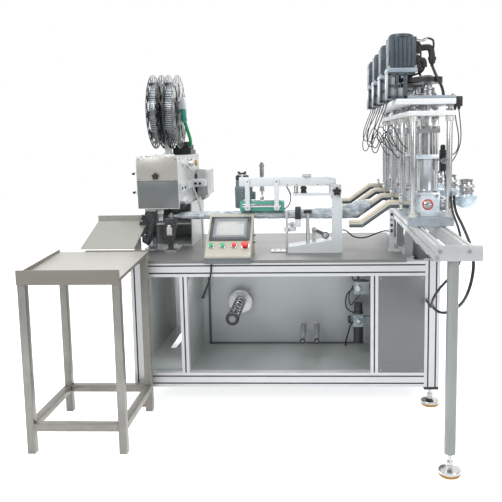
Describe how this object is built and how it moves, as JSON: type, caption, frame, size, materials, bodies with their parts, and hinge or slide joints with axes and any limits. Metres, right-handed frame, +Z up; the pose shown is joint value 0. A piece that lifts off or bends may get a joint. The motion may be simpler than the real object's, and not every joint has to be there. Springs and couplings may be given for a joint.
{
  "type": "piston filling machine",
  "caption": "Piston filling line: servo piston pumps on a sliding carriage fill a film tube that a sealer closes and a clipper clips, with a receiving table.",
  "frame": {"origin": "middle of the whole footprint, on the floor", "axes": "+X to the right along the front, +Y away from the viewer, +Z up"},
  "size_m": [2.2, 1.9919, 1.973],
  "materials": {
    "anodised_aluminium": "satin",
    "black_plastic": "matt",
    "polished_steel": "polished",
    "amber_rubber": "matt",
    "brushed_stainless": "brushed",
    "dull_stainless": "dull brushed",
    "pale_stainless": "satin",
    "warm_grey_paint": "satin",
    "light_grey_paint": "satin",
    "cream_paint": "satin",
    "white_paint": "gloss",
    "dark_glass": "gloss",
    "green_plastic": "gloss",
    "red_plastic": "gloss",
    "blue_grey_steel": "satin",
    "teal_paint": "satin",
    "clear_film": "clear",
    "black_rubber": "matt",
    "black_motor_paint": "satin",
    "machined_steel": "machined"
  },
  "bodies": {
    "machine": {"frame_profiles": "anodised_aluminium", "profile_trim": "black_plastic", "leveling_feet": "polished_steel", "foot_pads": "amber_rubber", "table_top": "brushed_stainless", "cabinet_panels": "brushed_stainless", "air_unit": "light_grey_paint", "clipper_stand": "light_grey_paint", "clipper_head": "light_grey_paint", "clip_die": "machined_steel", "reel_stand": "white_paint", "clipper_services": "black_motor_paint", "outfeed_chute": "brushed_stainless", "receiving_frame": "dull_stainless", "receiving_tray": "pale_stainless", "console_housing": "cream_paint", "touch_screen": "dark_glass", "sealer_stand": "white_paint", "table_brackets": "white_paint", "film_tube": "clear_film", "pump_beams": "anodised_aluminium", "beam_supports": "machined_steel", "console_cable": "black_rubber", "sealer_cable": "black_rubber", "beam_cable": "black_rubber", "pump_cable": "black_rubber"},
    "carriage": {"carriage_base": "blue_grey_steel", "tower_frame": "blue_grey_steel", "servo_drives": "black_motor_paint", "pump_bodies": "machined_steel", "filling_nozzles": "pale_stainless", "product_inlets": "machined_steel"},
    "film_spindle": {"film_spindle": "machined_steel"},
    "guide_roller_left": {"guide_roller_left": "white_paint"},
    "guide_roller_right": {"guide_roller_right": "white_paint"},
    "regulator_knob": {"regulator_knob": "black_plastic"},
    "clipper_cover": {"clipper_cover": "warm_grey_paint"},
    "cover_knob": {"cover_knob": "black_plastic"},
    "clip_punch": {"clip_punch": "machined_steel"},
    "clip_gate": {"clip_gate": "black_motor_paint"},
    "clip_reel_left": {"clip_reel_left": "black_motor_paint"},
    "clip_reel_right": {"clip_reel_right": "black_motor_paint"},
    "start_button": {"start_button": "green_plastic"},
    "feed_button": {"feed_button": "green_plastic"},
    "stop_button": {"stop_button": "red_plastic"},
    "emergency_stop": {"emergency_stop": "red_plastic"},
    "sealer_arm": {"sealer_arm": "white_paint"},
    "seal_head": {"seal_head": "teal_paint"},
    "height_knob": {"height_knob": "black_plastic"},
    "dancer_arm": {"dancer_arm": "machined_steel"},
    "dancer_roller": {"dancer_roller": "white_paint"},
    "valve_rotors": {"valve_rotors": "red_plastic"},
    "piston_1": {"piston_1": "machined_steel"},
    "piston_2": {"piston_2": "machined_steel"},
    "piston_3": {"piston_3": "machined_steel"},
    "piston_4": {"piston_4": "machined_steel"},
    "drive_screw_1": {"drive_screw_1": "machined_steel"},
    "drive_screw_2": {"drive_screw_2": "machined_steel"},
    "drive_screw_3": {"drive_screw_3": "machined_steel"},
    "drive_screw_4": {"drive_screw_4": "machined_steel"}
  },
  "joints": [
    {"name": "carriage_slide", "type": "slide", "parent": "machine", "child": "carriage", "axis": [0, 1, 0], "range_m": [-0.4, 0], "deforming": ["pump_cable", "beam_cable"]},
    {"name": "spindle_turn", "type": "hinge", "parent": "machine", "child": "film_spindle", "pos_m": [-0.19, 0.081, 0.479], "axis": [0, 1, 0], "continuous": true},
    {"name": "left_roller_turn", "type": "hinge", "parent": "machine", "child": "guide_roller_left", "pos_m": [0.196, 0.131, 0.315], "axis": [0, 1, 0], "continuous": true},
    {"name": "right_roller_turn", "type": "hinge", "parent": "machine", "child": "guide_roller_right", "pos_m": [0.277, 0.131, 0.315], "axis": [0, 1, 0], "continuous": true},
    {"name": "regulator_turn", "type": "hinge", "parent": "machine", "child": "regulator_knob", "pos_m": [0.522, 0.081, 0.493], "axis": [0, 0, 1], "range_deg": [0, 1080]},
    {"name": "cover_hinge", "type": "hinge", "parent": "machine", "child": "clipper_cover", "pos_m": [-0.6115, -0.001, 1.3823], "axis": [-1, 0, 0], "range_deg": [0, 100]},
    {"name": "cover_knob_turn", "type": "hinge", "parent": "clipper_cover", "child": "cover_knob", "pos_m": [-0.621, -0.024, 1.267], "axis": [0, 1, 0], "range_deg": [0, 720]},
    {"name": "punch_slide", "type": "slide", "parent": "machine", "child": "clip_punch", "axis": [0, 0, -1], "range_m": [0, 0.018]},
    {"name": "gate_slide", "type": "slide", "parent": "machine", "child": "clip_gate", "axis": [0, 0, -1], "range_m": [0, 0.02]},
    {"name": "left_reel_turn", "type": "hinge", "parent": "machine", "child": "clip_reel_left", "pos_m": [-0.661, 0.301, 1.636], "axis": [1, 0, 0], "continuous": true},
    {"name": "right_reel_turn", "type": "hinge", "parent": "machine", "child": "clip_reel_right", "pos_m": [-0.567, 0.301, 1.636], "axis": [1, 0, 0], "continuous": true},
    {"name": "start_press", "type": "slide", "parent": "machine", "child": "start_button", "axis": [0, 0.6383, -0.7698], "range_m": [0, 0.004], "stiffness_N_per_m": 600, "springref_m": -0.002},
    {"name": "feed_press", "type": "slide", "parent": "machine", "child": "feed_button", "axis": [0, 0.6383, -0.7698], "range_m": [0, 0.004], "stiffness_N_per_m": 600, "springref_m": -0.002},
    {"name": "stop_press", "type": "slide", "parent": "machine", "child": "stop_button", "axis": [0, 0.6383, -0.7698], "range_m": [0, 0.004], "stiffness_N_per_m": 600, "springref_m": -0.002},
    {"name": "emergency_press", "type": "slide", "parent": "machine", "child": "emergency_stop", "axis": [0, 0.6383, -0.7698], "range_m": [0, 0.006]},
    {"name": "arm_lift", "type": "hinge", "parent": "machine", "child": "sealer_arm", "pos_m": [0.373, 0.017, 1.226], "axis": [0, 1, 0], "range_deg": [0, 10]},
    {"name": "head_lift", "type": "slide", "parent": "sealer_arm", "child": "seal_head", "axis": [0, 0, 1], "range_m": [0, 0.012]},
    {"name": "height_knob_turn", "type": "hinge", "parent": "machine", "child": "height_knob", "pos_m": [0.397, -0.019, 1.172], "axis": [0, 1, 0], "range_deg": [0, 720]},
    {"name": "dancer_swing", "type": "hinge", "parent": "machine", "child": "dancer_arm", "pos_m": [0.266, 0.046, 0.95], "axis": [0, -1, 0], "range_deg": [0, 25]},
    {"name": "dancer_roller_turn", "type": "hinge", "parent": "dancer_arm", "child": "dancer_roller", "pos_m": [0.33216, 0.031, 0.91915], "axis": [0, 1, 0], "continuous": true},
    {"name": "valves_turn", "type": "hinge", "parent": "carriage", "child": "valve_rotors", "pos_m": [0.84, 0.271, 1.132], "axis": [0, 1, 0], "range_deg": [0, 90]},
    {"name": "screw_1_turn", "type": "hinge", "parent": "carriage", "child": "drive_screw_1", "pos_m": [0.84, -0.329, 1.6], "axis": [0, 0, 1], "range_deg": [0, 1800]},
    {"name": "piston_1_slide", "type": "slide", "parent": "carriage", "child": "piston_1", "axis": [0, 0, 1], "range_m": [-0.1, 0]},
    {"name": "screw_2_turn", "type": "hinge", "parent": "carriage", "child": "drive_screw_2", "pos_m": [0.84, 0.071, 1.6], "axis": [0, 0, 1], "range_deg": [0, 1800]},
    {"name": "piston_2_slide", "type": "slide", "parent": "carriage", "child": "piston_2", "axis": [0, 0, 1], "range_m": [-0.1, 0]},
    {"name": "screw_3_turn", "type": "hinge", "parent": "carriage", "child": "drive_screw_3", "pos_m": [0.84, 0.471, 1.6], "axis": [0, 0, 1], "range_deg": [0, 1800]},
    {"name": "piston_3_slide", "type": "slide", "parent": "carriage", "child": "piston_3", "axis": [0, 0, 1], "range_m": [-0.1, 0]},
    {"name": "screw_4_turn", "type": "hinge", "parent": "carriage", "child": "drive_screw_4", "pos_m": [0.84, 0.871, 1.6], "axis": [0, 0, 1], "range_deg": [0, 1800]},
    {"name": "piston_4_slide", "type": "slide", "parent": "carriage", "child": "piston_4", "axis": [0, 0, 1], "range_m": [-0.1, 0]}
  ],
  "couplings": [
    {"joint": "piston_1_slide", "follows": "screw_1_turn", "m_per_rad": -0.0031831},
    {"joint": "piston_2_slide", "follows": "screw_2_turn", "m_per_rad": -0.0031831},
    {"joint": "piston_3_slide", "follows": "screw_3_turn", "m_per_rad": -0.0031831},
    {"joint": "piston_4_slide", "follows": "screw_4_turn", "m_per_rad": -0.0031831}
  ]
}
